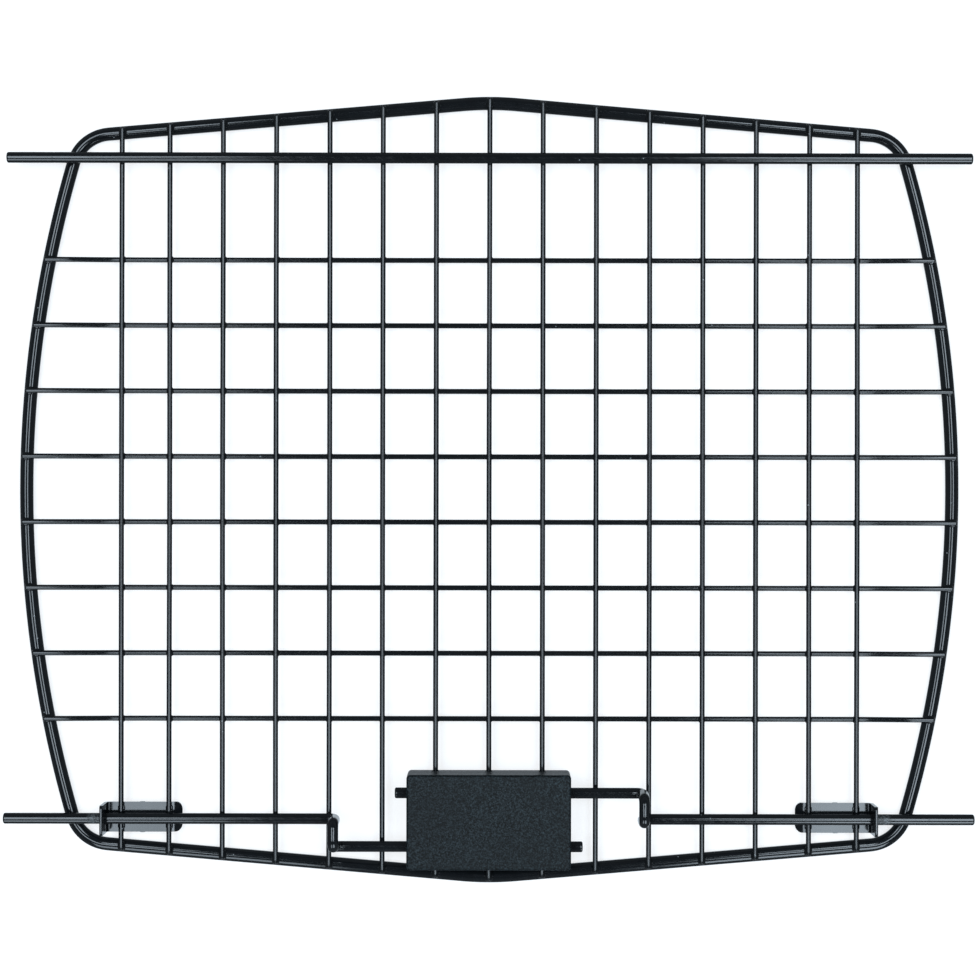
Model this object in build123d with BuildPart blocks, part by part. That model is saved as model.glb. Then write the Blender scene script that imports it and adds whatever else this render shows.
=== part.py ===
from build123d import *
import os
from math import cos, radians, sin, sqrt, tan

# The wire-grid door of a pet kennel, with a fixed hinge rod and two sprung latch rods.
# The door lies on its back. +Z points out of its front, and +X runs along the hinge rod.
# The origin is under the middle of the grid, on the plane that the frame lies on.
# Lengths are in millimetres.

# Perimeter frame: one round rod bent round the grid, measured to its centre line
frame_rod_d = 6.4
frame_side_room = 46.1  # from the outermost upright wire to the middle of a side
frame_side_r = 561.0
frame_peak_room = 75.85  # from the outermost cross wire to where the top's straight halves would meet
frame_slope = 4.87  # degrees, from the peak down to the corners
frame_peak_r = 150.0
frame_corner_r = 19.0

# Grid: upright wires in front of cross wires, welded where they cross
wire_d = 2.5
wire_chamfer = 0.3
wire_end_inset = 1.7  # from the frame's outer edge to a wire's cut end
column_pitch = 25.4
column_count = 13
outer_column_pitch = 22.8  # one more wire on each side, set closer
row_pitch = 31.27
row_count = 8
joggle_start = 6.0  # past the outermost upright wire
joggle_end = 5.0  # short of the frame's centre line
joggle_r = 30.0

# Round rods: the hinge rod and the latch rods are the same stock
rod_d = 5.2
hinge_inset = 27.9  # from the top's peak to the hinge rod
hinge_reach = 27.3  # of a rod's end, past the frame's outer edge
latch_reach = 28.1
rod_end_fillet = 0.8
groove_from_end = 22.0  # a shallow ring that marks how deep a rod end goes in its socket
groove_width = 0.8
groove_depth = 0.22
latch_gap = 0.3  # between a latch rod and the upright wires

# Latch rods: an outer straight, a finger loop that stands forward, and an inner straight
loop_room = 34.3  # from the housing's end to the loop
loop_height = 15.4
loop_bend_r = 3.2
loop_lean = 1.5  # how far the loop's inner leg leans in at its front
inner_offset_y = 12.7
inner_raise = 2.6
stub_reach = 5.8  # of a rod's inner end, past the far end of the housing

# Brackets: bent sheet behind the two outermost upright wires on each side
sheet_t = 1.5
bracket_past_wire = 8.2  # from the outermost upright wire to the flange's face
bracket_past_inner_wire = 5.2
bracket_height = 14.2
bracket_bend_r = 1.8  # to the middle of the sheet
bracket_flange_rise = 14.8  # above the front of the plate
bracket_corner = 1.2
bracket_rim_width = 1.3
bracket_rim_height = 0.4
nib_width = 2.2
nib_depth = 0.5
bracket_frame_gap = 2.4
rod_clearance = 0.3  # round a latch rod, in sheet and in plastic

# Latch housing: two moulded shells that meet on the axis of the inner straights
housing_length = 77.4
housing_height = 44.8
housing_cover_depth = 10.8  # in front of the inner straights' axis
housing_frame_gap = 2.75
housing_wall = 2.0
housing_corner_r = 1.8
housing_front_edge_r = 1.2
housing_back_edge_r = 0.5
wire_seat_gap = 0.1  # between the upright wires and the shells
slot_clearance = 0.2  # on each side of an upright wire
tongue_clearance = 0.1
rib_x = 4.0  # the spring side of a rib, from the middle of the housing
rib_t = 2.0
rib_reach = 7.0  # from the rod's axis towards the middle of the housing

# Housing screws
screw_d = 2.9
screw_head_d = 5.6
screw_head_t = 1.8
screw_head_fillet = 0.6
screw_recess_clearance = 0.3
screw_recess_depth = 2.4
screw_grip = 7.0  # length of thread in the front shell
screw_drive_width = 0.9
screw_drive_length = 3.2
screw_drive_depth = 0.9
screw_hole_clearance = 0.2
screw_pilot_clearance = 0.03
screw_pilot_spare = 0.5  # of the pilot hole, past the screw's tip
screw_tip_chamfer = 0.7
boss_wall = 0.9

# Latch springs and the clips that they push
spring_wire_d = 0.7
spring_rod_gap = 0.65
spring_turns = 14
spring_end_gap = 0.05
clip_ring_width = 1.5
clip_t = 0.8
clip_fit = 0.02
clip_stop_gap = 0.2
clip_side_gap = 0.2
clip_notches = 6
clip_notch_d = 1.2

# Levels, from the plane that the frame lies on
frame_z = frame_rod_d / 2
row_z = frame_rod_d - wire_d / 2
column_z = frame_rod_d + wire_d / 2
column_front_z = frame_rod_d + wire_d
hinge_z = column_front_z + rod_d / 2
latch_z = hinge_z + latch_gap
inner_z = latch_z + inner_raise
loop_z = latch_z + loop_height
housing_floor_z = frame_rod_d - wire_seat_gap
housing_back_z = housing_floor_z - housing_wall
housing_front_z = inner_z + housing_cover_depth
housing_roof_z = housing_front_z - housing_wall

# The grid's lines, and the frame bent round them
column_inner_x = [column_pitch * (i - (column_count - 1) / 2) for i in range(column_count)]
column_outer_x = column_inner_x[-1] + outer_column_pitch
column_x = [-column_outer_x] + column_inner_x + [column_outer_x]
row_y = [row_pitch * (i - (row_count - 1) / 2) for i in range(row_count)]
wire_overhang = frame_rod_d / 2 - wire_end_inset
frame_half_width = column_outer_x + frame_side_room
side_centre_x = frame_half_width - frame_side_r
frame_peak_y = row_y[-1] + frame_peak_room
slope = tan(radians(frame_slope))
peak_centre_y = frame_peak_y - frame_peak_r / cos(radians(frame_slope))
peak_half_arc = frame_peak_r * sin(radians(frame_slope))

os.makedirs("parts", exist_ok=True)


def save(piece, name):
    """Label a finished piece and write its STEP file."""
    piece.part.label = name
    export_step(piece.part, f"parts/{name}.step")


def frame_side_x(y):
    """How far the side's centre line is from the middle of the door, at a height y."""
    return side_centre_x + sqrt(frame_side_r**2 - y**2)


def frame_top_y(x):
    """How far the top's centre line is from the middle of the door, at a width x."""
    if abs(x) < peak_half_arc:
        return peak_centre_y + sqrt(frame_peak_r**2 - x**2)
    return frame_peak_y - slope * abs(x)


def frame_corner():
    """Where the sloping top would meet the side's arc, if the corner were sharp."""
    a = 1 + slope**2
    b = side_centre_x + slope * frame_peak_y
    c = side_centre_x**2 + frame_peak_y**2 - frame_side_r**2
    x = (b + sqrt(b**2 - a * c)) / a
    return x, frame_peak_y - slope * x


def bent_rod(points, bend_r, diameter):
    """A round rod bent along the points, with one bend radius."""
    with BuildPart() as rod:
        with BuildLine() as route:
            FilletPolyline(*points, radius=bend_r)
        with BuildSketch(Plane(origin=route.line @ 0, z_dir=route.line % 0)):
            Circle(diameter / 2)
        sweep()
    return rod


# Perimeter frame: the right half of the loop is swept, and mirrored to the left
corner_x, corner_y = frame_corner()
peak_y = frame_top_y(0)
with BuildSketch(Plane.XY.offset(frame_z)) as half_outline:
    with BuildLine():
        for up in (-1, 1):
            peak_end = (peak_half_arc, up * frame_top_y(peak_half_arc))
            RadiusArc((0, up * peak_y), peak_end, up * frame_peak_r)
            Line(peak_end, (corner_x, up * corner_y))
        ThreePointArc((corner_x, corner_y), (frame_half_width, 0), (corner_x, -corner_y))
        Line((0, peak_y), (0, -peak_y))
    make_face()
    fillet(half_outline.vertices().group_by(Axis.X)[-1], frame_corner_r)
frame_line = Wire(half_outline.sketch.edges().sort_by(Axis.X)[1:])

with BuildPart() as perimeter_frame:
    with BuildSketch(Plane(origin=frame_line @ 0, z_dir=frame_line % 0)):
        Circle(frame_rod_d / 2)
    sweep(path=frame_line)
    mirror(about=Plane.YZ)
save(perimeter_frame, "perimeter_frame")

# Upright wires: straight, in front of the frame's top and bottom
for number, x in enumerate(column_x, start=1):
    end_y = frame_top_y(x) + wire_overhang
    with BuildPart() as column:
        with BuildSketch(Plane.XZ):
            with Locations((x, column_z)):
                Circle(wire_d / 2)
        extrude(amount=end_y, both=True)
        chamfer(column.edges().filter_by(GeomType.CIRCLE), wire_chamfer)
    save(column, f"vertical_wire_{number:02d}")

# Cross wires: behind the upright wires, with both ends bent forward on to the frame's sides
for number, y in enumerate(row_y, start=1):
    side_x = frame_side_x(y)
    half = [
        (column_outer_x + joggle_start, y, row_z),
        (side_x - joggle_end, y, column_z),
        (side_x + wire_overhang, y, column_z),
    ]
    points = [(-px, py, pz) for px, py, pz in reversed(half)] + half
    row = bent_rod(points, joggle_r, wire_d)
    with row:
        ends = row.edges().filter_by(GeomType.CIRCLE).sort_by(Axis.X)
        chamfer([ends[0], ends[-1]], wire_chamfer)
    save(row, f"horizontal_wire_{number:02d}")


# Lines and lengths of the rods: the latch line is as near to the frame's bottom as the housing
# and the brackets let it be
bracket_outer_x = column_outer_x + bracket_past_wire
bracket_inner_x = column_inner_x[-1] - bracket_past_inner_wire
housing_limit_y = frame_top_y(0) - frame_rod_d / 2 - housing_frame_gap - housing_height / 2
bracket_reach_y = bracket_height / 2 + nib_depth
bracket_limit_y = frame_top_y(bracket_outer_x) - frame_rod_d / 2 - bracket_frame_gap - bracket_reach_y
latch_line_y = min(housing_limit_y, bracket_limit_y)
latch_end_x = frame_side_x(latch_line_y) + frame_rod_d / 2 + latch_reach
loop_x = housing_length / 2 + loop_room
stub_x = housing_length / 2 + stub_reach
hinge_line_y = frame_peak_y - hinge_inset
hinge_half_length = frame_side_x(hinge_line_y) + frame_rod_d / 2 + hinge_reach

# Hinge rod: straight, welded across the front of every upright wire
with BuildPart() as hinge_rod:
    with BuildSketch(Plane.YZ):
        with Locations((hinge_line_y, hinge_z)):
            Circle(rod_d / 2)
    extrude(amount=hinge_half_length, both=True)
    fillet(hinge_rod.edges().filter_by(GeomType.CIRCLE), rod_end_fillet)
    for side in (-1, 1):
        groove_x = side * (hinge_half_length - groove_from_end - groove_width)
        with BuildSketch(Plane(origin=(groove_x, hinge_line_y, hinge_z), z_dir=(side, 0, 0))):
            Circle(rod_d / 2 + groove_depth)
            Circle(rod_d / 2 - groove_depth, mode=Mode.SUBTRACT)
        extrude(amount=groove_width, mode=Mode.SUBTRACT)
save(hinge_rod, "hinge_rod")

for side, side_name in ((-1, "left"), (1, "right")):

    def turned(x, y, z):
        """A point of the right latch, or the same point turned half round for the left one."""
        return side * x, side * y - latch_line_y, z

    # Latch rod: the pin end is straight, and the rest is bent
    with BuildPart() as latch_rod:
        with BuildLine() as latch_line:
            FilletPolyline(
                turned(latch_end_x, 0, latch_z),
                turned(loop_x, 0, latch_z),
                turned(loop_x, 0, loop_z),
                turned(loop_x, inner_offset_y - loop_lean, loop_z),
                turned(loop_x, inner_offset_y, inner_z),
                turned(-stub_x, inner_offset_y, inner_z),
                radius=loop_bend_r,
            )
        with BuildSketch(Plane(origin=latch_line.line @ 0, z_dir=latch_line.line % 0)):
            Circle(rod_d / 2)
        sweep()
        ends = latch_rod.edges().filter_by(GeomType.CIRCLE).sort_by(Axis.X)
        fillet([ends[0], ends[-1]], rod_end_fillet)
        groove_x = latch_end_x - groove_from_end - groove_width
        with BuildSketch(Plane(origin=turned(groove_x, 0, latch_z), z_dir=(side, 0, 0))):
            Circle(rod_d / 2 + groove_depth)
            Circle(rod_d / 2 - groove_depth, mode=Mode.SUBTRACT)
        extrude(amount=groove_width, mode=Mode.SUBTRACT)
    save(latch_rod, f"{side_name}_latch_rod")

    # Bracket: one strip of sheet, bent forward at both ends
    plate_z = frame_rod_d - sheet_t / 2
    flange_mid_x = bracket_outer_x - sheet_t / 2
    lip_mid_x = bracket_inner_x + sheet_t / 2
    lip_top_z = latch_z - rod_d / 2 - rod_clearance
    flange_top_z = frame_rod_d + bracket_flange_rise
    with BuildPart() as bracket:
        with BuildSketch(Plane.XZ.offset(latch_line_y)):
            with BuildLine() as strip:
                FilletPolyline(
                    (side * flange_mid_x, flange_top_z),
                    (side * flange_mid_x, plate_z),
                    (side * lip_mid_x, plate_z),
                    (side * lip_mid_x, lip_top_z),
                    radius=bracket_bend_r,
                )
            trace(line_width=sheet_t)
        extrude(amount=bracket_height / 2, both=True)
        upright = bracket.edges().filter_by(Axis.X)
        top_corners = upright.group_by(Axis.Z)[-1]
        lip_corners = upright.sort_by_distance((side * lip_mid_x, -latch_line_y, lip_top_z))[:2]
        chamfer(top_corners + lip_corners, bracket_corner)
        # a punched rim stands out round the rod's hole
        with BuildSketch(Plane(origin=(side * bracket_outer_x, -latch_line_y, latch_z), z_dir=(side, 0, 0))):
            Circle(rod_d / 2 + rod_clearance + bracket_rim_width)
        extrude(amount=bracket_rim_height)
        with BuildSketch(Plane(origin=(side * bracket_outer_x, -latch_line_y, latch_z), z_dir=(side, 0, 0))):
            Circle(rod_d / 2 + rod_clearance)
        extrude(amount=2 * sheet_t, both=True, mode=Mode.SUBTRACT)
        # nibs left where the strip was cut from its carrier
        with BuildSketch(Plane.XY.offset(frame_rod_d - sheet_t)):
            with Locations((side * (bracket_outer_x + bracket_inner_x) / 2, -latch_line_y)):
                Rectangle(nib_width, 2 * bracket_reach_y)
        extrude(amount=sheet_t)
    save(bracket, f"{side_name}_bracket")

    # Spring clip: a push-on ring on the inner straight, stopped by the housing's end wall
    clip_outer_x = housing_length / 2 - housing_wall - clip_stop_gap
    clip_inner_x = clip_outer_x - clip_t
    clip_room = housing_height / 2 - housing_wall - inner_offset_y - clip_side_gap
    clip_r = min(rod_d / 2 + clip_ring_width, clip_room)
    with BuildPart() as clip:
        with BuildSketch(Plane(origin=turned(clip_outer_x, inner_offset_y, inner_z), z_dir=(-side, 0, 0))):
            Circle(clip_r)
            Circle(rod_d / 2 + clip_fit, mode=Mode.SUBTRACT)
            with PolarLocations(rod_d / 2 + clip_fit, clip_notches):
                Circle(clip_notch_d / 2, mode=Mode.SUBTRACT)
        extrude(amount=clip_t)
    save(clip, f"{side_name}_spring_clip")

    # Latch spring: round the inner straight, between the clip and the housing's rib
    spring_end_inset = spring_wire_d / 2 + spring_end_gap
    spring_length = clip_inner_x + rib_x - 2 * spring_end_inset
    spring_r = rod_d / 2 + spring_rod_gap + spring_wire_d / 2
    with BuildPart() as spring:
        with BuildLine() as coil:
            Helix(
                pitch=spring_length / spring_turns,
                height=spring_length,
                radius=spring_r,
                center=turned(-rib_x + spring_end_inset, inner_offset_y, inner_z),
                direction=(side, 0, 0),
            )
        with BuildSketch(Plane(origin=coil.line @ 0, z_dir=coil.line % 0)):
            Circle(spring_wire_d / 2)
        sweep(is_frenet=True)
    save(spring, f"{side_name}_latch_spring")

# Places that the two shells of the latch housing share
housing_middle = (0, -latch_line_y)
screw_places = [(side * column_pitch / 2, -latch_line_y) for side in (-1, 1)]
housed_columns = [x for x in column_x if abs(x) < housing_length / 2 - housing_wall]
slot_width = wire_d + 2 * slot_clearance
tongue_width = slot_width - 2 * tongue_clearance
wall_mid_y = (housing_height - housing_wall) / 2
rib_outer_y = housing_height / 2 - housing_wall
rib_inner_y = inner_offset_y - rib_reach
rib_places = [
    (side * (-rib_x - rib_t / 2), side * (rib_outer_y + rib_inner_y) / 2 - latch_line_y) for side in (-1, 1)
]
rod_hole_places = [(side * inner_offset_y - latch_line_y, inner_z) for side in (-1, 1)]
recess_floor_z = housing_back_z + screw_recess_depth
base_boss_d = screw_head_d + 2 * (screw_recess_clearance + boss_wall)

# Latch base: the rear shell, which the upright wires cross in open slots
with BuildPart() as latch_base:
    with BuildSketch(Plane.XY.offset(housing_back_z)):
        with Locations(housing_middle):
            RectangleRounded(housing_length, housing_height, housing_corner_r)
    extrude(amount=inner_z - housing_back_z)
    fillet(latch_base.faces().sort_by(Axis.Z)[0].edges(), housing_back_edge_r)
    with BuildSketch(Plane.XY.offset(housing_floor_z)):
        with Locations(housing_middle):
            Rectangle(housing_length - 2 * housing_wall, housing_height - 2 * housing_wall)
    extrude(amount=inner_z - housing_floor_z, mode=Mode.SUBTRACT)
    with BuildSketch(Plane.XY.offset(housing_floor_z)):
        with Locations([(x, -latch_line_y) for x in housed_columns]):
            Rectangle(slot_width, housing_height)
    extrude(amount=inner_z - housing_floor_z, mode=Mode.SUBTRACT)
    with BuildSketch(Plane.XY.offset(housing_floor_z)):
        with Locations(rib_places):
            Rectangle(rib_t, rib_outer_y - rib_inner_y)
        with Locations(screw_places):
            Circle(base_boss_d / 2)
    extrude(amount=inner_z - housing_floor_z)
    with BuildSketch(Plane.YZ):
        with Locations(rod_hole_places):
            Circle(rod_d / 2 + rod_clearance)
    extrude(amount=housing_length / 2, both=True, mode=Mode.SUBTRACT)
    with BuildSketch(Plane.XY.offset(housing_back_z)):
        with Locations(screw_places):
            Circle(screw_head_d / 2 + screw_recess_clearance)
    extrude(amount=screw_recess_depth, mode=Mode.SUBTRACT)
    with BuildSketch(Plane.XY.offset(recess_floor_z)):
        with Locations(screw_places):
            Circle(screw_d / 2 + screw_hole_clearance)
    extrude(amount=inner_z - recess_floor_z, mode=Mode.SUBTRACT)
save(latch_base, "latch_base")

# Latch cover: the front shell, whose tongues close the slots down to the wires
pilot_r = screw_d / 2 + screw_pilot_clearance
cover_boss_d = base_boss_d - 2 * screw_recess_clearance
pilot_depth = screw_grip + screw_pilot_spare
tongue_z = column_front_z + wire_seat_gap
with BuildPart() as latch_cover:
    with BuildSketch(Plane.XY.offset(inner_z)):
        with Locations(housing_middle):
            RectangleRounded(housing_length, housing_height, housing_corner_r)
    extrude(amount=housing_front_z - inner_z)
    fillet(latch_cover.faces().sort_by(Axis.Z)[-1].edges(), housing_front_edge_r)
    with BuildSketch(Plane.XY.offset(inner_z)):
        with Locations(housing_middle):
            Rectangle(housing_length - 2 * housing_wall, housing_height - 2 * housing_wall)
    extrude(amount=housing_roof_z - inner_z, mode=Mode.SUBTRACT)
    with BuildSketch(Plane.XY.offset(inner_z)):
        with Locations(rib_places):
            Rectangle(rib_t, rib_outer_y - rib_inner_y)
        with Locations(screw_places):
            Circle(cover_boss_d / 2)
    extrude(amount=housing_roof_z - inner_z)
    with BuildSketch(Plane.XY.offset(tongue_z)):
        with Locations([(x, side * wall_mid_y - latch_line_y) for x in housed_columns for side in (-1, 1)]):
            Rectangle(tongue_width, housing_wall)
    extrude(amount=inner_z - tongue_z)
    with BuildSketch(Plane.YZ):
        with Locations(rod_hole_places):
            Circle(rod_d / 2 + rod_clearance)
    extrude(amount=housing_length / 2, both=True, mode=Mode.SUBTRACT)
    with BuildSketch(Plane.XY.offset(inner_z)):
        with Locations(screw_places):
            Circle(pilot_r)
    extrude(amount=pilot_depth, mode=Mode.SUBTRACT)
save(latch_cover, "latch_cover")

# Housing screws: driven from the back, with cross recesses in their heads
with BuildPart() as housing_screws:
    with BuildSketch(Plane.XY.offset(recess_floor_z)):
        with Locations(screw_places):
            Circle(screw_head_d / 2)
    extrude(amount=-screw_head_t)
    fillet(housing_screws.edges().group_by(Axis.Z)[0], screw_head_fillet)
    with BuildSketch(Plane.XY.offset(recess_floor_z)):
        with Locations(screw_places):
            Circle(screw_d / 2)
    extrude(amount=inner_z + screw_grip - recess_floor_z)
    chamfer(housing_screws.edges().group_by(Axis.Z)[-1], screw_tip_chamfer)
    with BuildSketch(Plane.XY.offset(recess_floor_z - screw_head_t)):
        with Locations(screw_places):
            Rectangle(screw_drive_length, screw_drive_width)
            Rectangle(screw_drive_width, screw_drive_length)
    extrude(amount=screw_drive_depth, mode=Mode.SUBTRACT)
save(housing_screws, "housing_screws")
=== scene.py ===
"""The wire-grid door of a pet kennel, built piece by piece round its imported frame.

The door lies on its back: +Z points out of its front, +X along its hinge rod. Lengths are in metres.
"""

from math import asin, cos, pi, radians, sin

import bmesh
import bpy
import numpy as np
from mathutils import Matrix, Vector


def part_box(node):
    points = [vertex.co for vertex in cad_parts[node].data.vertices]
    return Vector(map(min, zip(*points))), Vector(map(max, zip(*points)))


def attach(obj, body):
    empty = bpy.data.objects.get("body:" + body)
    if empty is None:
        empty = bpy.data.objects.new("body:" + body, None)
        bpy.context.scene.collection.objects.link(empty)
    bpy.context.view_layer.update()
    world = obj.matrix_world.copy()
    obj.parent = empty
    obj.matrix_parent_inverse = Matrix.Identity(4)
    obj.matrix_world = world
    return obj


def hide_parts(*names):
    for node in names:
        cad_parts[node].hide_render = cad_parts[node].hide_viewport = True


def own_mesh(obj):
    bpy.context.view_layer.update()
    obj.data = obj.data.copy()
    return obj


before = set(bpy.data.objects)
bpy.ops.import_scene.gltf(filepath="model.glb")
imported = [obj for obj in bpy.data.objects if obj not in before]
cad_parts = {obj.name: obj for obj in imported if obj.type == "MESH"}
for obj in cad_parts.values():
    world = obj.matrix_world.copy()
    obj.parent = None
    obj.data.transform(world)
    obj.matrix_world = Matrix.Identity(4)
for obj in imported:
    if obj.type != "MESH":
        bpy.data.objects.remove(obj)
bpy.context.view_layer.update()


# Camera: it looks straight down on the door from about 1.1 m, through a lens that is long enough to
# show the sides of the tall pieces only a little. The door lies a tenth of a degree askew under it.
mm = 0.001
camera_height = 1097.65 * mm
camera_x = 0.34 * mm
camera_y = -0.19 * mm
lens_length = 84.01  # in millimetres, on a sensor 36 mm wide
door_askew = radians(0.1)

camera_data = bpy.data.cameras.new("camera")
camera_data.sensor_width = 36.0
camera_data.lens = lens_length
camera_data.clip_start = 0.01
camera_data.clip_end = 100.0
camera = bpy.data.objects.new("camera", camera_data)
bpy.context.scene.collection.objects.link(camera)
camera.location = (camera_x, camera_y, camera_height)
camera.rotation_euler = (0, 0, door_askew)
bpy.context.scene.camera = camera


# Perimeter frame: one mild steel rod of a quarter inch, bent into a loop on a mandrel and butt
# welded, then dipped in gloss black paint with the grid on it. The paint stands a little thicker
# where it drained, so the rod's shine wanders by a hair along its length.
frame_low, frame_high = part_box("perimeter_frame")
frame_rod_r = (frame_high.z - frame_low.z) / 2
frame_half_width = frame_high.x - frame_rod_r
frame_peak_y = frame_high.y - frame_rod_r
frame_side_r = 561 * mm
frame_peak_r = 150 * mm
frame_corner_r = 19 * mm
frame_slope = radians(4.87)
paint_wander = 0.02 * mm  # the most that the painted surface lies inside a true cylinder


def unit(vectors):
    """Vectors divided by their own length."""
    return vectors / np.linalg.norm(vectors, axis=-1, keepdims=True)


def arc(centre, radius, start, end, count):
    """Points of an arc in the door's plane: centre + radius (cos a, sin a), for a from start to end."""
    a = np.linspace(start, end, count)
    return np.column_stack([centre[0] + radius * np.cos(a), centre[1] + radius * np.sin(a)])


def frame_line():
    """The closed centre line of the frame.

    A quarter runs along the side's arc, the corner's arc, a straight and the peak's arc. The corner's
    centre lies corner_r inside both the straight and the side's arc, which gives its angle phi on the
    side's arc: sin(phi + slope) = (d - corner_r - n.c) / (side_r - corner_r), where n is the
    straight's normal, d its distance from the origin and c the centre of the side's arc. The quarter
    is mirrored left to right, and the half is turned half round.
    """
    side_centre = np.array([frame_half_width - frame_side_r, 0])
    peak_centre = np.array([0, frame_peak_y - frame_peak_r])
    normal = np.array([sin(frame_slope), cos(frame_slope)])
    straight = normal @ peak_centre + frame_peak_r
    reach = frame_side_r - frame_corner_r
    phi = asin((straight - frame_corner_r - normal @ side_centre) / reach) - frame_slope
    corner_centre = side_centre + reach * np.array([cos(phi), sin(phi)])
    quarter = np.vstack([
        arc(side_centre, frame_side_r, 0, phi, 120),
        arc(corner_centre, frame_corner_r, phi, pi / 2 - frame_slope, 40)[1:],
        arc(peak_centre, frame_peak_r, pi / 2 - frame_slope, pi / 2, 20),
    ])
    half = np.vstack([quarter, quarter[-2::-1] * (-1, 1)])
    loop = np.vstack([half, -half[1:]])
    return np.column_stack([loop, np.full(len(loop), frame_rod_r)])


def wander(along, angles, seed):
    """Slow unevenness of a painted rod, from 0 to 1: three pairs of crossed waves of 7 to 70 mm."""
    random = np.random.default_rng(seed)
    total = np.zeros((len(along), len(angles)))
    for wave_length, share in ((7 * mm, 0.25), (17 * mm, 0.6), (41 * mm, 1.0)):
        turns = random.integers(1, 4)
        phase = random.uniform(0, 2 * pi, 2)
        total += share * np.sin(2 * pi * along[:, None] / wave_length + turns * angles + phase[0])
        total += 0.5 * share * np.sin(2 * pi * along[:, None] / (1.7 * wave_length) - angles + phase[1])
    return 0.5 + total / (2 * 1.5 * (0.25 + 0.6 + 1.0))


def put_mesh(name, points, faces):
    """A new object with this mesh, at the origin."""
    mesh = bpy.data.meshes.new(name)
    mesh.from_pydata(points.tolist(), [], faces)
    mesh.polygons.foreach_set("use_smooth", np.full(len(mesh.polygons), True))
    mesh.update()
    made = bpy.data.objects.new(name, mesh)
    bpy.context.scene.collection.objects.link(made)
    return made


def rod(name, line, radius, end_round=0.0, step=1.5 * mm, around=24, closed=False, seed=0, dip=None):
    """A round rod as a surface of two parameters: a circle carried along a line.

    Point (s, a) is line(s) + r(s, a) (side cos a + up sin a), where side and up are square to the
    line. r is the rod's radius less the paint's unevenness. Near an open end, at a distance d
    from it, r falls as a quarter circle: r - e + sqrt(e^2 - (e - d)^2), where e is end_round. Where
    the line bends, the rod is a little flatter in the bend's plane.
    """
    lengths = np.concatenate([[0], np.cumsum(np.linalg.norm(np.diff(line, axis=0), axis=1))])
    total = lengths[-1]
    if closed:
        along = np.linspace(0, total, round(total / step), endpoint=False)
    else:
        curl = end_round * (1 - np.cos(np.linspace(0, pi / 2, 7)))
        middle = np.linspace(curl[-1], total - curl[-1], max(2, round(total / step)))
        along = np.concatenate([curl[:-1], middle, total - curl[-2::-1]])
    centre = np.column_stack([np.interp(along, lengths, line[:, k]) for k in range(3)])
    if closed:
        tangent = unit(np.roll(centre, -1, axis=0) - np.roll(centre, 1, axis=0))
        turn = (np.roll(tangent, -1, axis=0) - np.roll(tangent, 1, axis=0)) / (2 * step)
    else:
        tangent = unit(np.gradient(centre, along, axis=0))
        turn = np.gradient(tangent, along, axis=0)
        turn = np.column_stack([np.convolve(turn[:, k], np.ones(5) / 5, "same") for k in range(3)])
    side = unit(np.cross(tangent, (0.51, -0.47, 0.72)))
    up = np.cross(side, tangent)
    angles = np.linspace(0, 2 * pi, around, endpoint=False)
    out = side[:, None] * np.cos(angles)[:, None] + up[:, None] * np.sin(angles)[:, None]
    r = radius - paint_wander * wander(along, angles, seed)
    if not closed:
        inside = end_round - np.clip(np.minimum(along, total - along), 0, end_round)
        r = r - (end_round - np.sqrt(end_round**2 - inside**2))[:, None]
        if dip is not None:
            r = r - dip(np.minimum(along, total - along))[:, None]
    bend = np.linalg.norm(turn, axis=1)
    across = np.einsum("sk,sak->sa", turn / np.maximum(bend, 1e-9)[:, None], out)
    r = r * (1 - 0.07 * np.clip(radius * bend, 0, 1)[:, None] * across**2)
    points = (centre[:, None] + r[..., None] * out).reshape(-1, 3)
    rings = len(along)
    ring, spoke = np.meshgrid(np.arange(rings if closed else rings - 1), np.arange(around), indexing="ij")
    following = (ring + 1) % rings
    beside = (spoke + 1) % around
    corners = [(ring, spoke), (following, spoke), (following, beside), (ring, beside)]
    quads = np.stack([at * around + by for at, by in corners], axis=-1).reshape(-1, 4)
    faces = quads.tolist()
    if not closed:
        faces.append(list(range(around)))
        faces.append(list(range(rings * around - 1, (rings - 1) * around - 1, -1)))
    made = put_mesh(name, points, faces)
    paper = np.stack([
        np.stack([along[ring], along[ring] + step, along[ring] + step, along[ring]], axis=-1),
        np.stack([spoke, spoke, spoke + 1, spoke + 1], axis=-1) * 2 * pi * radius / around,
    ], axis=-1)
    sheet = np.zeros((len(made.data.loops), 2))
    sheet[: paper.size // 2] = paper.reshape(-1, 2)
    made.data.uv_layers.new(name="rod").data.foreach_set("uv", sheet.ravel())
    return made


def linear(shade):
    """An sRGB hex colour as linear red, green, blue and full alpha."""
    parts = np.array([int(shade[k:k + 2], 16) for k in (1, 3, 5)]) / 255
    parts = np.where(parts <= 0.04045, parts / 12.92, ((parts + 0.055) / 1.055) ** 2.4)
    return (*parts.tolist(), 1.0)


def add(tree, kind, links=None, **settings):
    """Adds a shader node: settings are its own options, and links gives each socket a value or a source."""
    made = tree.nodes.new("ShaderNode" + kind)
    for key, value in settings.items():
        setattr(made, key, value)
    for key, value in (links or {}).items():
        if isinstance(value, bpy.types.NodeSocket):
            tree.links.new(value, made.inputs[key])
        else:
            made.inputs[key].default_value = value
    return made


def finish_of(name, ior, **sockets):
    """A material with one Principled shader, and the tree and shader to add to."""
    made = bpy.data.materials.new(name)
    made.use_nodes = True
    tree = made.node_tree
    shader = tree.nodes["Principled BSDF"]
    shader.inputs["IOR"].default_value = ior
    for key, value in sockets.items():
        shader.inputs[key.replace("_", " ")].default_value = value
    return made, tree, shader


peel_size = 1.8 * mm  # of the orange peel
drain_size = 16 * mm  # of the bands where the paint drained
dust_apart = 7 * mm
spiral_pitch = 2.6 * mm  # of the marks of the straightening rolls


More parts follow.
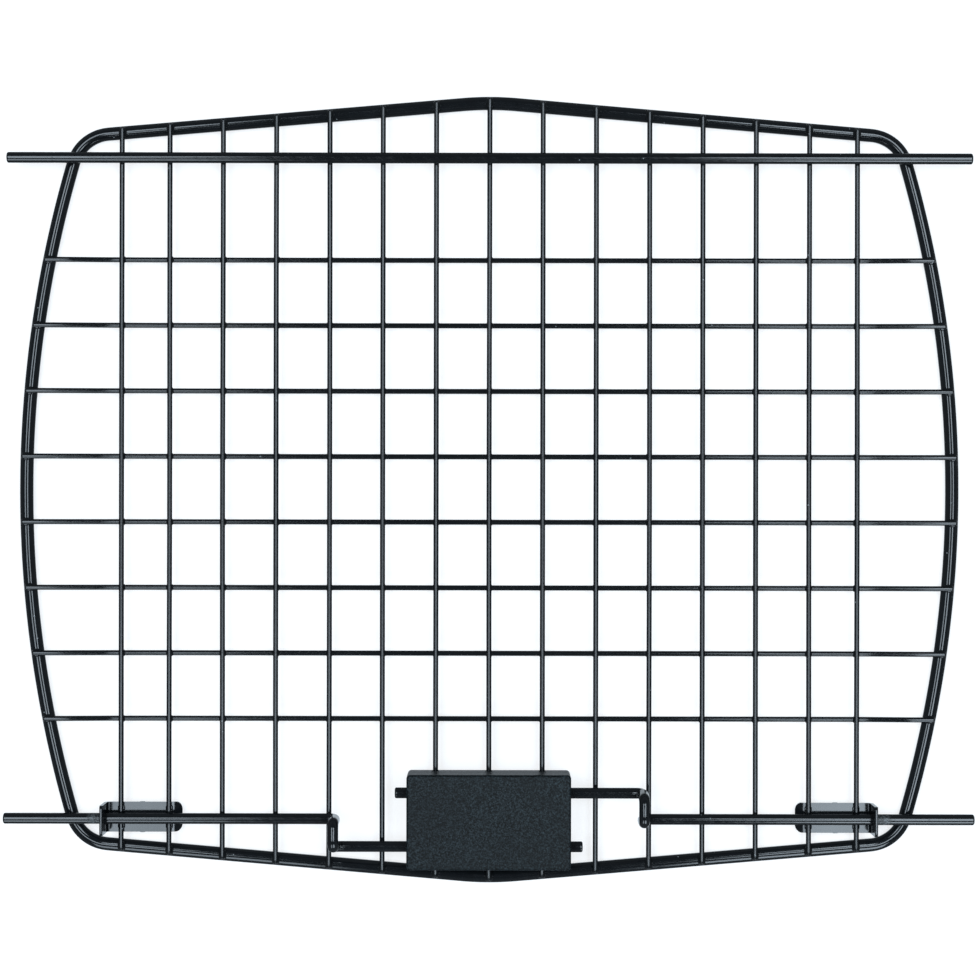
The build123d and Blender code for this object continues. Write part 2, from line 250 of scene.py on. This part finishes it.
def gloss_black_paint(name, straightened=False, rubbed=None):
    """Dipped and baked gloss black enamel on steel.

    It is nearly a mirror, so the eye gets thin sharp lights on a blue-black ground. It has the faint
    orange peel of a dipped coat, slow bands where it drained, and a few specks of dust under it.
    Straightened rod shows the faint spiral that the straightening rolls left. A rubbed stretch, from
    one distance to another on each side of the middle, is dulled and scratched by the sheet it
    slides in.
    """
    made, tree, shader = finish_of(name, ior=1.5)
    place = add(tree, "TexCoord").outputs["Object"]
    peel = add(tree, "TexNoise", {"Vector": place, "Scale": 1 / peel_size, "Detail": 1.5, "Roughness": 0.4})
    drain = add(tree, "TexNoise", {"Vector": place, "Scale": 1 / drain_size, "Detail": 2.0})
    grime = add(tree, "TexNoise", {"Vector": place, "Scale": 1 / (4.5 * mm), "Detail": 3.0})
    dust = add(tree, "TexVoronoi", {"Vector": place, "Scale": 1 / dust_apart})
    speck = add(tree, "MapRange", {"Value": dust.outputs["Distance"], "From Min": 0.05, "From Max": 0.032})
    tone = add(tree, "Mix", {
        "Factor": grime.outputs["Fac"], 6: linear("#090b0d"), 7: linear("#101316"),
    }, data_type="RGBA")
    spotted = add(tree, "Mix", {
        "Factor": speck.outputs["Result"], 6: tone.outputs[2], 7: linear("#6f7578"),
    }, data_type="RGBA")
    colour = spotted.outputs[2]
    gloss = add(tree, "MapRange", {
        "Value": drain.outputs["Fac"], "From Min": 0.35, "From Max": 0.65, "To Min": 0.09, "To Max": 0.13,
    }).outputs["Result"]
    height = peel.outputs["Fac"]
    if straightened:
        unrolled = add(tree, "UVMap", uv_map="rod").outputs["UV"]
        spiral = add(tree, "TexWave", {
            "Vector": unrolled, "Scale": 0.3 / spiral_pitch,
            "Distortion": 2.5, "Detail": 2.0, "Detail Scale": 2.0,
        }, wave_type="BANDS", bands_direction="DIAGONAL")
        ridge = add(tree, "MapRange", {"Value": spiral.outputs["Fac"], "From Min": 0.7, "From Max": 1.0})
        height = add(tree, "Math", {
            0: ridge.outputs["Result"], 1: 0.4, 2: height,
        }, operation="MULTIPLY_ADD").outputs[0]
        gloss = add(tree, "Math", {
            0: ridge.outputs["Result"], 1: 0.03, 2: gloss,
        }, operation="MULTIPLY_ADD").outputs[0]
    if rubbed is not None:
        out_from_middle = add(tree, "Math", {
            0: add(tree, "SeparateXYZ", {0: place}).outputs["X"],
        }, operation="ABSOLUTE").outputs[0]
        grit = add(tree, "TexNoise", {
            "Vector": place, "Scale": 1 / (0.7 * mm), "Detail": 3.0, "Roughness": 0.7,
        })
        ragged = add(tree, "Math", {
            0: grit.outputs["Fac"], 1: 3.5 * mm, 2: out_from_middle,
        }, operation="MULTIPLY_ADD").outputs[0]
        first, last = rubbed
        started = add(tree, "MapRange", {"Value": ragged, "From Min": first, "From Max": first + mm})
        ended = add(tree, "MapRange", {"Value": ragged, "From Min": last + 2 * mm, "From Max": last})
        worn = add(tree, "Math", {
            0: started.outputs["Result"], 1: ended.outputs["Result"],
        }, operation="MULTIPLY").outputs[0]
        grit_share = add(tree, "MapRange", {"Value": grit.outputs["Fac"], "From Min": 0.45, "From Max": 0.62})
        bared = add(tree, "Math", {0: worn, 1: grit_share.outputs["Result"]}, operation="MULTIPLY").outputs[0]
        colour = add(tree, "Mix", {
            "Factor": bared, 6: colour, 7: linear("#54595b"),
        }, data_type="RGBA").outputs[2]
        gloss = add(tree, "Math", {0: worn, 1: 0.28, 2: gloss}, operation="MULTIPLY_ADD").outputs[0]
    tree.links.new(colour, shader.inputs["Base Color"])
    tree.links.new(gloss, shader.inputs["Roughness"])
    bump = add(tree, "Bump", {"Height": height, "Strength": 1.0, "Distance": 2e-6})
    tree.links.new(bump.outputs["Normal"], shader.inputs["Normal"])
    return made


def settle(piece, body, material, slot, *nodes):
    """Gives a finished piece its material and its body, and hides the CAD nodes it stands for. The slot is
    not used.
    """
    piece.data.materials.clear()
    piece.data.materials.append(material)
    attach(piece, body)
    if nodes:
        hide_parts(*nodes)
    return piece


wire_paint = gloss_black_paint("gloss_black_paint")
perimeter = rod("bent_perimeter_rod", frame_line(), frame_rod_r, around=40, closed=True, seed=1)
settle(perimeter, "door", wire_paint, "black_coated_steel", "perimeter_frame")


# Upright wires: hard-drawn steel wire, cut to length and laid by hand in a jig across the front of
# the frame, so none is dead straight. The dipped paint rounds their cut ends.
wire_end_round = 0.3 * mm
wire_bow = 0.12 * mm  # the most that an upright wire bows sideways between welds
jig_random = np.random.default_rng(11)
upright_nodes = sorted(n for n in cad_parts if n.startswith("vertical_wire"))

for number, node in enumerate(upright_nodes, start=1):
    low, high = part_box(node)
    wire_r = (high.z - low.z) / 2
    share = np.linspace(0, 1, 90)
    bow = wire_bow * jig_random.uniform(-1, 1) * np.sin(pi * share)
    bow += 0.4 * wire_bow * jig_random.uniform(-1, 1) * np.sin(3 * pi * share)
    line = np.column_stack([
        (low.x + high.x) / 2 + bow,
        low.y + (high.y - low.y) * share,
        np.full(len(share), (low.z + high.z) / 2),
    ])
    upright = rod(f"painted_{node}", line, wire_r, wire_end_round, step=2 * mm, around=20, seed=20 + number)
    settle(upright, "door", wire_paint, "black_coated_steel", node)


# Cross wires: the same wire, laid behind the upright ones. Past the outermost of them each end
# climbs evenly on to the frame's side and is welded there. The weld presses wire and rod into each
# other, which makes the climb a little flatter.
climb_start = 2 * mm  # past the outermost upright wire
climb_end = 7 * mm  # short of the wire's own end
weld_sink = 0.4 * mm
outer_upright_x = (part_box(upright_nodes[-1])[0].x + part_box(upright_nodes[-1])[1].x) / 2
cross_nodes = sorted(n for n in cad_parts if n.startswith("horizontal_wire"))


def eased(share, ease=0.12):
    """A straight climb from 0 to 1 with rounded ends: the mean of a clipped ramp over a width of ease."""
    offsets = np.linspace(-ease, ease, 15)[:, None]
    return np.clip((share + offsets) * (1 + 2 * ease) - ease, 0, 1).mean(axis=0)


for number, node in enumerate(cross_nodes, start=1):
    low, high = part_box(node)
    wire_r = (high.y - low.y) / 2
    share = np.linspace(-1, 1, 400)
    x = high.x * share
    climb = (abs(x) - outer_upright_x - climb_start) / (high.x - climb_end - outer_upright_x - climb_start)
    sunk = weld_sink * np.clip((abs(x) - outer_upright_x + 30 * mm) / (30 * mm), 0, 1) ** 2
    sway = 0.5 * wire_bow * jig_random.uniform(-1, 1) * np.cos(pi * share / 2)
    line = np.column_stack([
        x,
        (low.y + high.y) / 2 + sway,
        low.z + wire_r + sunk + (high.z - low.z - 2 * wire_r - 2 * weld_sink) * eased(climb),
    ])
    cross = rod(f"painted_{node}", line, wire_r, wire_end_round, step=2 * mm, around=20, seed=50 + number)
    settle(cross, "door", wire_paint, "black_coated_steel", node)


# Welds of the grid: each crossing is pressed together under an electrode until the steel runs, so a
# low nugget fills the corners between the two wires, rounded off by the paint over it.
nugget_rise = 0.85 * mm


def nuggets(name, centres, along_x, along_y, rise, spread=0.07):
    """Flattened weld nuggets at many places, as one mesh.

    Point (a, b) is centre + (X cos a cos b, Y sin a cos b, Z sin b), with X and Y made larger on the
    diagonals by the factor 1 - spread cos 4a, where the nugget shows between the crossed wires.
    """
    a = np.linspace(0, 2 * pi, 20, endpoint=False)
    b = np.linspace(-pi / 2, pi / 2, 9)[1:-1]
    lobes = (1 - spread * np.cos(4 * a))[:, None] * np.cos(b)
    body = np.stack([
        along_x * np.cos(a)[:, None] * lobes,
        along_y * np.sin(a)[:, None] * lobes,
        rise * np.broadcast_to(np.sin(b), lobes.shape),
    ], axis=-1).reshape(-1, 3)
    body = np.vstack([body, (0, 0, -rise), (0, 0, rise)])
    rows, columns = len(a), len(b)
    i, j = np.meshgrid(np.arange(rows), np.arange(columns - 1), indexing="ij")
    k = (i + 1) % rows
    corners = [(i, j), (k, j), (k, j + 1), (i, j + 1)]
    quads = np.stack([at * columns + by for at, by in corners], axis=-1).reshape(-1, 4)
    around = np.arange(rows)
    after = (around + 1) % rows
    foot = np.column_stack([after * columns, around * columns, np.full(rows, rows * columns)])
    head = np.column_stack([
        around * columns + columns - 1, after * columns + columns - 1, np.full(rows, rows * columns + 1),
    ])
    centres = np.array(centres, float)
    points = (centres[:, None] + body).reshape(-1, 3)
    step = (np.arange(len(centres)) * len(body))[:, None, None]
    faces = (quads + step).reshape(-1, 4).tolist() + (np.vstack([foot, head]) + step).reshape(-1, 3).tolist()
    return put_mesh(name, points, faces)


upright_x = [(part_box(n)[0].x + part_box(n)[1].x) / 2 for n in upright_nodes]
cross_y = [(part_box(n)[0].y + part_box(n)[1].y) / 2 for n in cross_nodes]
wire_contact_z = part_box(upright_nodes[0])[0].z
crossings = [(x, y, wire_contact_z) for x in upright_x for y in cross_y]
grid_welds = nuggets("grid_weld_nuggets", crossings, 1.85 * mm, 1.85 * mm, nugget_rise)
settle(grid_welds, "door", wire_paint, "black_coated_steel")


# Welds to the frame: the wires' ends are pressed on to the thicker rod, where the nugget spreads
# further along the wire than across it, and shows as a small shoulder on each side.
end_overhang = 1.5 * mm  # of a wire's end, past the frame's centre line
rim_spots = []
for node, x in zip(upright_nodes, upright_x):
    low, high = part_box(node)
    rim_spots += [(x, y, wire_contact_z) for y in (low.y + end_overhang, high.y - end_overhang)]
rim_welds = nuggets("rim_weld_nuggets", rim_spots, 2.05 * mm, 2.5 * mm, 1.05 * mm, spread=0.05)
settle(rim_welds, "door", wire_paint, "black_coated_steel")
side_spots = []
for node, y in zip(cross_nodes, cross_y):
    low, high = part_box(node)
    side_spots += [(x, y, wire_contact_z) for x in (low.x + end_overhang, high.x - end_overhang)]
side_welds = nuggets("side_weld_nuggets", side_spots, 2.5 * mm, 2.05 * mm, 1.05 * mm, spread=0.05)
settle(side_welds, "door", wire_paint, "black_coated_steel")


# Hinge rod: cold-drawn steel rod, straightened between rolls, cut off square with its edges broken,
# and welded across the front of the upright wires. A ring is turned in it near each end.
rod_end_round = 0.8 * mm
ring_from_end = 22.4 * mm
ring_width = 0.32 * mm
ring_depth = 0.05 * mm  # what the paint leaves of it


def ring_mark(from_end):
    """A shallow ring turned in a rod: its depth falls off as exp(-((d - place) / width)^2)."""
    return ring_depth * np.exp(-(((from_end - ring_from_end) / ring_width) ** 2))


low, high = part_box("hinge_rod")
hinge_r = (high.z - low.z) / 2
hinge_y = (low.y + high.y) / 2
hinge_z = (low.z + high.z) / 2
hinge_line = np.array([(low.x, hinge_y, hinge_z), (high.x, hinge_y, hinge_z)])
rod_paint = gloss_black_paint("gloss_black_paint_on_straightened_rod", straightened=True)
hinge = rod(
    "straight_hinge_rod", hinge_line, hinge_r, rod_end_round,
    step=0.6 * mm, around=32, seed=70, dip=ring_mark,
)
settle(hinge, "door", rod_paint, "black_coated_steel", "hinge_rod")
hinge_spots = [(x, hinge_y, low.z) for x in upright_x]
hinge_welds = nuggets("hinge_weld_nuggets", hinge_spots, 2.0 * mm, 2.3 * mm, 0.9 * mm)
settle(hinge_welds, "door", wire_paint, "black_coated_steel")


# Latch rods: the same drawn rod, bent cold over a small former into a finger loop that stands
# forward, then a second straight that goes into the housing. The left rod is the right one turned
# half round. Just outside its bracket each rod is rubbed dull.
loop_from_middle = 73 * mm
loop_bend_r = 3.2 * mm
loop_lean = 1.5 * mm  # how far the loop's inner leg leans in at its front
inner_raise = 2.6 * mm  # of the inner straight, in front of the outer one


def bent_line(corners, bend_r, count=24):
    """The corners joined by straights and, at each inner corner, a tangent arc of radius bend_r.

    With a and b the unit vectors from a corner to its neighbours and h half the angle between them,
    the arc starts bend_r / tan h along a, ends as far along b, and its centre lies bend_r / sin h
    along a + b. Its points turn evenly from one end to the other.
    """
    corners = np.array(corners, float)
    stretches = [corners[:1]]
    for before, corner, after in zip(corners[:-2], corners[1:-1], corners[2:]):
        a = unit(before - corner)
        b = unit(after - corner)
        half = np.arccos(np.clip(a @ b, -1, 1)) / 2
        centre = corner + unit(a + b) * bend_r / np.sin(half)
        start = corner + a * bend_r / np.tan(half) - centre
        end = corner + b * bend_r / np.tan(half) - centre
        whole = pi - 2 * half
        turn = np.linspace(0, whole, count)[:, None]
        stretches.append(centre + (np.sin(whole - turn) * start + np.sin(turn) * end) / np.sin(whole))
    stretches.append(corners[-1:])
    return np.vstack(stretches)


flange_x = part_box("right_bracket")[1].x
latch_paint = gloss_black_paint(
    "gloss_black_paint_on_sliding_rod", straightened=True, rubbed=(flange_x + 1.5 * mm, flange_x + 7 * mm),
)
low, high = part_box("right_latch_rod")
latch_r = hinge_r
latch_y = low.y + latch_r
latch_z = low.z + latch_r
loop_z = high.z - latch_r
inner_y = high.y - latch_r
loop_corners = np.array([
    (high.x, latch_y, latch_z),
    (loop_from_middle, latch_y, latch_z),
    (loop_from_middle, latch_y, loop_z),
    (loop_from_middle, inner_y - loop_lean, loop_z),
    (loop_from_middle, inner_y, latch_z + inner_raise),
    (low.x, inner_y, latch_z + inner_raise),
])
for number, side in enumerate(("left", "right")):
    corners = loop_corners if side == "right" else np.array([0, 2 * latch_y, 0]) + loop_corners * (-1, -1, 1)
    latch = rod(
        f"bent_{side}_latch_rod", bent_line(corners, loop_bend_r), latch_r, rod_end_round,
        step=0.6 * mm, around=32, seed=80 + number, dip=ring_mark,
    )
    settle(latch, f"{side}_latch", latch_paint, "black_coated_steel", f"{side}_latch_rod")


# Brackets: strips of sheet steel, blanked and folded in one stroke, so their edges are rolled over a
# little. Each is welded behind two upright wires, and its flange guides a latch rod.
sheet_thickness = 1.5 * mm
sheet_edge_round = 0.22 * mm
flange_top_round = 0.55 * mm
nib_height = 0.5 * mm
curl_length = 5.2 * mm
curl_depth = 2.8 * mm
curl_reach = 0.8 * mm
corner_run = 2.4 * mm
corner_height = 3.6 * mm
bracket_spot_apart = 8.4 * mm


def rounded_copy(node, name, edge_round, top_round=None):
    """A copy of a CAD node with its seams merged, and its edges of over 40 degrees rounded by a bevel.

    The edges at the node's highest level are first rounded by top_round, where that is given.
    """
    made = bpy.data.objects.new(name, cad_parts[node].data.copy())
    bpy.context.scene.collection.objects.link(made)
    shape = bmesh.new()
    shape.from_mesh(made.data)
    bmesh.ops.remove_doubles(shape, verts=shape.verts, dist=1e-6)
    bmesh.ops.dissolve_limit(
        shape, angle_limit=radians(1), use_dissolve_boundaries=False, verts=shape.verts, edges=shape.edges,
    )
    if top_round is not None:
        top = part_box(node)[1].z - 0.02 * mm
        rim = [
            edge for edge in shape.edges
            if min(end.co.z for end in edge.verts) > top and edge.calc_face_angle(0.0) > radians(40)
        ]
        bmesh.ops.bevel(shape, geom=rim, offset=top_round, segments=4, profile=0.5, affect="EDGES")
    shape.to_mesh(made.data)
    shape.free()
    made.data.polygons.foreach_set("use_smooth", np.full(len(made.data.polygons), True))
    bevel = made.modifiers.new("edge", "BEVEL")
    bevel.width = edge_round
    bevel.segments = 2
    bevel.limit_method = "ANGLE"
    bevel.angle_limit = radians(40)
    made.modifiers.new("flat_faces", "WEIGHTED_NORMAL").keep_sharp = True
    return made


def curl_inner_end(bracket, low, high):
    """Turns the plate's inner end down and rounds its corners, as a folding tool leaves a guide end.

    With d the distance from the end and s = 1 - d / length, held between 0 and 1, a point sinks by
    depth s^2.3 and moves out by reach s^2. Its distance from the middle line shrinks by the share
    (corner / half) (1 - sqrt(1 - (1 - d / corner_run)^2)) within corner_run of the end. What stands
    out past the plate's half width, the nibs, is drawn in to 0.4 of itself, as the press leaves it.
    """
    outward = np.sign(low.x)
    inner = min(abs(low.x), abs(high.x))
    shape = bmesh.new()
    shape.from_mesh(bracket.data)
    for cut in np.linspace(inner + 0.2 * mm, inner + curl_length, 10):
        everything = shape.verts[:] + shape.edges[:] + shape.faces[:]
        bmesh.ops.bisect_plane(
            shape, geom=everything, dist=1e-7, plane_co=(outward * cut, 0, 0), plane_no=(outward, 0, 0),
        )
    shape.to_mesh(bracket.data)
    shape.free()
    points = np.empty(3 * len(bracket.data.vertices))
    bracket.data.vertices.foreach_get("co", points)
    points = points.reshape(-1, 3)
    from_end = abs(points[:, 0]) - inner
    middle_y = (low.y + high.y) / 2
    half = (high.y - low.y) / 2 - nib_height
    off = points[:, 1] - middle_y
    off = np.sign(off) * np.where(abs(off) > half, half + 0.4 * (abs(off) - half), abs(off))
    s = np.clip(1 - from_end / curl_length, 0, 1)
    near = np.clip(1 - from_end / corner_run, 0, 1)
    off = off * (1 - corner_height / half * (1 - np.sqrt(1 - near**2)))
    plate_top = low.z + sheet_thickness
    flat_z = np.where(from_end < curl_length, np.minimum(points[:, 2], plate_top), points[:, 2])
    points = np.column_stack([
        points[:, 0] - outward * curl_reach * s**2,
        middle_y + off,
        flat_z - curl_depth * s**2.3,
    ])
    bracket.data.vertices.foreach_set("co", points.ravel())
    shape = bmesh.new()
    shape.from_mesh(bracket.data)
    bmesh.ops.remove_doubles(shape, verts=shape.verts, dist=0.02 * mm)
    bmesh.ops.dissolve_degenerate(shape, edges=shape.edges, dist=0.02 * mm)
    shape.to_mesh(bracket.data)
    shape.free()


bracket_spots = []
for side in ("left", "right"):
    low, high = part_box(f"{side}_bracket")
    bracket = rounded_copy(f"{side}_bracket", f"folded_{side}_bracket", sheet_edge_round, flange_top_round)
    curl_inner_end(bracket, low, high)
    settle(bracket, "door", wire_paint, "black_coated_steel", f"{side}_bracket")
    bracket_spots += [
        (x, latch_y + up * bracket_spot_apart / 2, wire_contact_z)
        for x in upright_x if low.x < x < high.x for up in (-1, 1)
    ]
bracket_welds = nuggets("bracket_weld_nuggets", bracket_spots, 1.9 * mm, 1.7 * mm, 0.6 * mm)
settle(bracket_welds, "door", wire_paint, "black_coated_steel")


# Latch housing: two shells moulded in black polypropylene from a spark-eroded mould, whose pebble
# they keep. The base lies behind the upright wires, and the cover closes over them and the rods.
shell_edge_round = 0.25 * mm
pebble_size = 0.75 * mm  # the real one is a little finer, too fine to show


def pebbled_black_plastic(name):
    """Moulded black polypropylene with a spark-eroded pebble: satin, on blue-black. Its fine even
    sparkle of light and dark grains is painted into its colour, a painted highlight on the high grains
    and painted shade on the low ones, with slow shading where the melt cooled unevenly.
    """
    made, tree, shader = finish_of(name, ior=1.49, Specular_IOR_Level=0.12)
    place = add(tree, "TexCoord").outputs["Object"]
    pebble = add(tree, "TexNoise", {
        "Vector": place, "Scale": 1 / pebble_size, "Detail": 6.0, "Roughness": 0.8,
    })
    grain = add(tree, "TexVoronoi", {"Vector": place, "Scale": 1 / (0.8 * pebble_size)})
    cooled = add(tree, "TexNoise", {"Vector": place, "Scale": 1 / (18 * mm), "Detail": 2.0})
    # Painted sparkle: the high grains of the pebble are painted lighter and the low ones darker, as the
    # highlight and shade that the bumps catch.
    painted_grain_sparkle = add(tree, "MapRange", {"Value": pebble.outputs["Fac"], "From Min": 0.46, "From Max": 0.68})
    tone = add(tree, "Mix", {
        "Factor": painted_grain_sparkle.outputs["Result"], 6: linear("#010202"), 7: linear("#2f3a3f"),
    }, data_type="RGBA")
    shaded = add(tree, "Mix", {
        "Factor": add(tree, "MapRange", {
            "Value": cooled.outputs["Fac"], "From Min": 0.4, "From Max": 0.7, "To Max": 0.35,
        }).outputs["Result"],
        6: tone.outputs[2], 7: linear("#0e1214"),
    }, data_type="RGBA")
    tree.links.new(shaded.outputs[2], shader.inputs["Base Color"])
    gloss = add(tree, "MapRange", {
        "Value": pebble.outputs["Fac"], "From Min": 0.3, "From Max": 0.7, "To Min": 0.5, "To Max": 0.36,
    })
    tree.links.new(gloss.outputs["Result"], shader.inputs["Roughness"])
    height = add(tree, "Math", {
        0: pebble.outputs["Fac"], 1: grain.outputs["Distance"],
    }, operation="ADD").outputs[0]
    bump = add(tree, "Bump", {"Height": height, "Strength": 1.0, "Distance": 60e-6})
    tree.links.new(bump.outputs["Normal"], shader.inputs["Normal"])
    return made


shell_plastic = pebbled_black_plastic("spark_eroded_black_polypropylene")
for part in ("base", "cover"):
    shell = rounded_copy(f"latch_{part}", f"moulded_latch_{part}", shell_edge_round)
    settle(shell, "door", shell_plastic, "black_moulded_plastic", f"latch_{part}")


# Housing screws: two zinc-plated thread-forming screws, driven from the back until their heads sit
# in the base's recesses. They keep the shape that the frame gives them.
def bright_zinc(name, shade, dullness):
    """Bright zinc plate: a cool silver with a faint cloud of blue and yellow passivation and fine pits."""
    made, tree, shader = finish_of(name, ior=1.5, Metallic=1.0)
    place = add(tree, "TexCoord").outputs["Object"]
    cloud = add(tree, "TexNoise", {"Vector": place, "Scale": 1 / (1.8 * mm), "Detail": 3.0})
    pits = add(tree, "TexNoise", {"Vector": place, "Scale": 1 / (0.12 * mm), "Detail": 2.0})
    tone = add(tree, "Mix", {
        "Factor": cloud.outputs["Fac"], 6: linear(shade), 7: linear("#a9a48f"),
    }, data_type="RGBA")
    tree.links.new(tone.outputs[2], shader.inputs["Base Color"])
    gloss = add(tree, "MapRange", {
        "Value": pits.outputs["Fac"], "To Min": dullness - 0.08, "To Max": dullness + 0.08,
    })
    tree.links.new(gloss.outputs["Result"], shader.inputs["Roughness"])
    bump = add(tree, "Bump", {"Height": pits.outputs["Fac"], "Strength": 1.0, "Distance": 2e-6})
    tree.links.new(bump.outputs["Normal"], shader.inputs["Normal"])
    return made


def smooth_kept(node, material):
    """A CAD node that stays: its seams are welded, and its edges over 30 degrees stay sharp."""
    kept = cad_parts[node]
    kept.data.materials.clear()
    kept.data.materials.append(material)
    kept.data.polygons.foreach_set("use_smooth", np.full(len(kept.data.polygons), True))
    kept.modifiers.new("seams", "WELD").merge_threshold = 1e-6
    kept.modifiers.new("edges", "EDGE_SPLIT").split_angle = radians(30)
    return kept


screw_zinc = bright_zinc("bright_zinc_plate", "#c3c9cf", 0.3)
smooth_kept("housing_screws", screw_zinc)


# Spring clips: stamped spring steel rings with notched bores, pushed on to the rods, plated in the
# same zinc. Each takes the push of its latch spring.
for side in ("left", "right"):
    smooth_kept(f"{side}_spring_clip", screw_zinc)


# Latch springs: hard-drawn wire coiled round a mandrel, with the end turns closed. Each stands
# between a rib of the housing and its rod's clip, and shortens as the rod is squeezed in.
spring_wire_r = 0.35 * mm
spring_turns = 14
closed_turns = 1.0


def coil_line(low, high, turns):
    """Centre line of a compression spring along X.

    Its angle grows evenly with u. Its place along X grows with the integral of the pitch, which is a
    quarter of the full pitch in the closed turns at each end.
    """
    u = np.linspace(0, 1, 26 * turns)
    pitch = np.where((u < closed_turns / turns) | (u > 1 - closed_turns / turns), 0.25, 1.0)
    climb = np.concatenate([[0], np.cumsum((pitch[1:] + pitch[:-1]) / 2)])
    coil_r = (high.y - low.y) / 2 - spring_wire_r
    return np.column_stack([
        low.x + spring_wire_r + (high.x - low.x - 2 * spring_wire_r) * climb / climb[-1],
        (low.y + high.y) / 2 + coil_r * np.cos(2 * pi * turns * u),
        (low.z + high.z) / 2 + coil_r * np.sin(2 * pi * turns * u),
    ])


spring_steel, spring_tree, spring_shader = finish_of(
    "hard_drawn_spring_wire", ior=1.5, Metallic=1.0, Roughness=0.32,
)
spring_place = add(spring_tree, "TexCoord").outputs["Object"]
oil = add(spring_tree, "TexNoise", {"Vector": spring_place, "Scale": 1 / (3 * mm), "Detail": 2.0})
spring_tone = add(spring_tree, "Mix", {
    "Factor": oil.outputs["Fac"], 6: linear("#8b8d90"), 7: linear("#a6a39c"),
}, data_type="RGBA")
spring_tree.links.new(spring_tone.outputs[2], spring_shader.inputs["Base Color"])

for side, rib_end in (("left", 1), ("right", 0)):
    low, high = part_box(f"{side}_latch_spring")
    spring = rod(
        f"coiled_{side}_latch_spring", coil_line(low, high, spring_turns), spring_wire_r,
        0.1 * mm, step=0.8 * mm, around=10, seed=90,
    )
    settle(spring, "door", spring_steel, "spring_steel", f"{side}_latch_spring")
    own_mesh(spring)


# Floor: the door lies on a wide sheet of pale acrylic that glows evenly from below, so thin black
# wires stand out on it with hardly a shadow. It is kept out of the rods' reflections, as black
# cards laid round the door would do.
floor_half = 20.0
floor_drop = 0.05 * mm  # below the door, so that the two don't share a plane
floor_corners = floor_half * np.array([(-1, -1), (1, -1), (1, 1), (-1, 1)])
floor = put_mesh("floor", np.column_stack([floor_corners, np.full(4, -floor_drop)]), [[0, 1, 2, 3]])
floor_acrylic, _, floor_shader = finish_of("glowing_pale_acrylic", ior=1.49, Roughness=0.9)
floor_shader.inputs["Base Color"].default_value = linear("#949596")
floor_shader.inputs["Specular IOR Level"].default_value = 0.0
floor_shader.inputs["Emission Color"].default_value = linear("#fdfeff")
floor_shader.inputs["Emission Strength"].default_value = 0.74
floor.data.materials.append(floor_acrylic)
floor.visible_glossy = False


# Studio: two pairs of soft panels, one pair overhead and one towards the bottom of the view. They
# leave a dark gap over the middle, where the camera hangs, so each rod that lies left to right is
# dark at its middle and bright towards its ends. A broad soft lamp from the left gives the depth.
def panel(name, left_to_right, centre_y, centre_z, tilt, length, glow):
    """A rectangular soft lamp. Its power is 4 x area x glow, where glow is its brightness."""
    start, end = left_to_right
    lamp = bpy.data.lights.new(name, "AREA")
    lamp.shape = "RECTANGLE"
    lamp.size = end - start
    lamp.size_y = length
    lamp.energy = 4 * (end - start) * length * glow
    lamp.color = (0.86, 1.0, 1.12)
    made = bpy.data.objects.new(name, lamp)
    bpy.context.scene.collection.objects.link(made)
    made.location = ((start + end) / 2, centre_y, centre_z)
    made.rotation_euler = (tilt, 0, 0)


panel("left_overhead_panel", (-1.3, -0.4), 0.1, 2.5, 0.0, 1.8, 4.9)
panel("right_overhead_panel", (0.35, 1.3), 0.1, 2.5, 0.0, 1.8, 5.9)
panel("left_lower_panel", (-1.4, -0.45), -2.5, 1.63, radians(57), 1.6, 3.4)
panel("right_lower_panel", (0.5, 1.6), -2.5, 1.63, radians(57), 1.6, 5.0)

lamp = bpy.data.lights.new("broad_lamp", "SUN")
lamp.energy = 0.9
lamp.angle = radians(35)
broad = bpy.data.objects.new("broad_lamp", lamp)
bpy.context.scene.collection.objects.link(broad)
broad.rotation_euler = (radians(-8), radians(-28), 0)
broad.visible_glossy = False

# A black oval card hangs round the camera, as a shield against its own reflection. Only the rods'
# shine shows it: it parts the two thin lights that run along each upright rod.
card_angles = np.linspace(0, 2 * pi, 48, endpoint=False)
card = put_mesh(
    "black_card",
    np.column_stack([0.6 * np.cos(card_angles), 0.4 * np.sin(card_angles), np.full(48, 2.4)]),
    [list(range(48))],
)
card_paper, _, card_shader = finish_of("black_card", ior=1.5, Roughness=1.0)
card_shader.inputs["Base Color"].default_value = linear("#0a0a0a")
card.data.materials.append(card_paper)
card.visible_camera = False
card.visible_diffuse = False
card.visible_shadow = False

# The room is dim overhead and a little brighter towards the walls. Straight down it is white, for
# the steep sides of the housing. What the camera itself sees of it is a pale wall.
world = bpy.data.worlds.new("studio")
world.use_nodes = True
room = world.node_tree
upness = add(room, "SeparateXYZ", {0: add(room, "TexCoord").outputs["Generated"]}).outputs["Z"]
steepness = add(room, "Math", {0: upness}, operation="ABSOLUTE").outputs[0]
walls = add(room, "MapRange", {"Value": steepness, "From Max": 0.9, "To Min": 0.24, "To Max": 0.08})
below = add(room, "MapRange", {"Value": upness, "From Min": -0.75, "From Max": -0.93})
glow = add(room, "Math", {0: walls.outputs["Result"], 1: below.outputs["Result"]}, operation="ADD").outputs[0]
to_camera = add(room, "LightPath").outputs["Is Camera Ray"]
seen = add(room, "Math", {0: to_camera, 1: 0.97}, operation="MULTIPLY").outputs[0]
strength = add(room, "Math", {0: glow, 1: seen}, operation="MAXIMUM").outputs[0]
room.nodes["Background"].inputs["Color"].default_value = linear("#dfecf6")
room.links.new(strength, room.nodes["Background"].inputs["Strength"])
bpy.context.scene.world = world
bpy.context.scene.view_settings.view_transform = "Standard"
bpy.context.scene.view_settings.look = "None"
